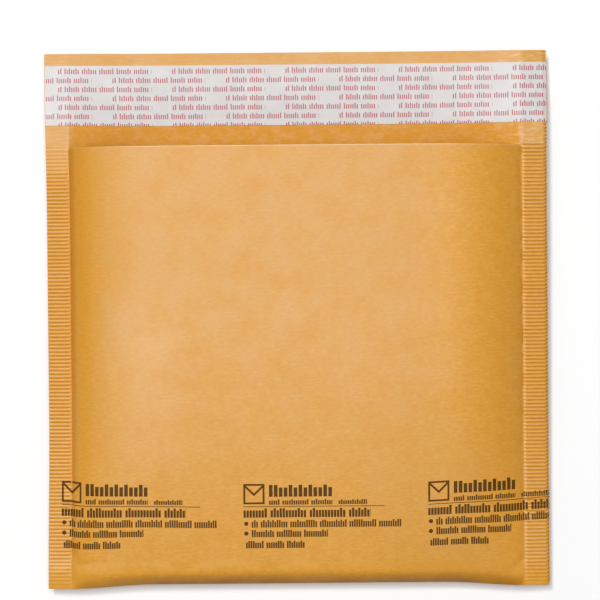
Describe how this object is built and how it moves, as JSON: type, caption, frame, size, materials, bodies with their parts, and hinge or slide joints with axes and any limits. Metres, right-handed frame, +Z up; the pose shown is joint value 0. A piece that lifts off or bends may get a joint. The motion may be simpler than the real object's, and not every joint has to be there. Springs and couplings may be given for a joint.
{
  "type": "padded envelope",
  "caption": "Open kraft paper mailer for a disc case, with a folded bottom, crimped side seams, a bubble film lining and a self-seal lip.",
  "frame": {"origin": "centre of the envelope's outline, on the surface that its back panel lies on", "axes": "+X across the envelope, +Y from the bottom fold to the lip, +Z up, out of the front panel"},
  "size_m": [0.205, 0.2186, 0.0214],
  "materials": {
    "kraft_paper": "golden brown kraft paper with a soft calendered sheen",
    "air_cell_film": "clear polyethylene air-cell film",
    "hot_melt_adhesive": "pale tacky hot-melt coat",
    "release_paper": "white siliconised release strip with red marks"
  },
  "bodies": {
    "root": {"outer_paper": "kraft_paper", "bubble_liner": "air_cell_film", "adhesive_band": "hot_melt_adhesive", "release_strip": "release_paper"}
  },
  "joints": []
}
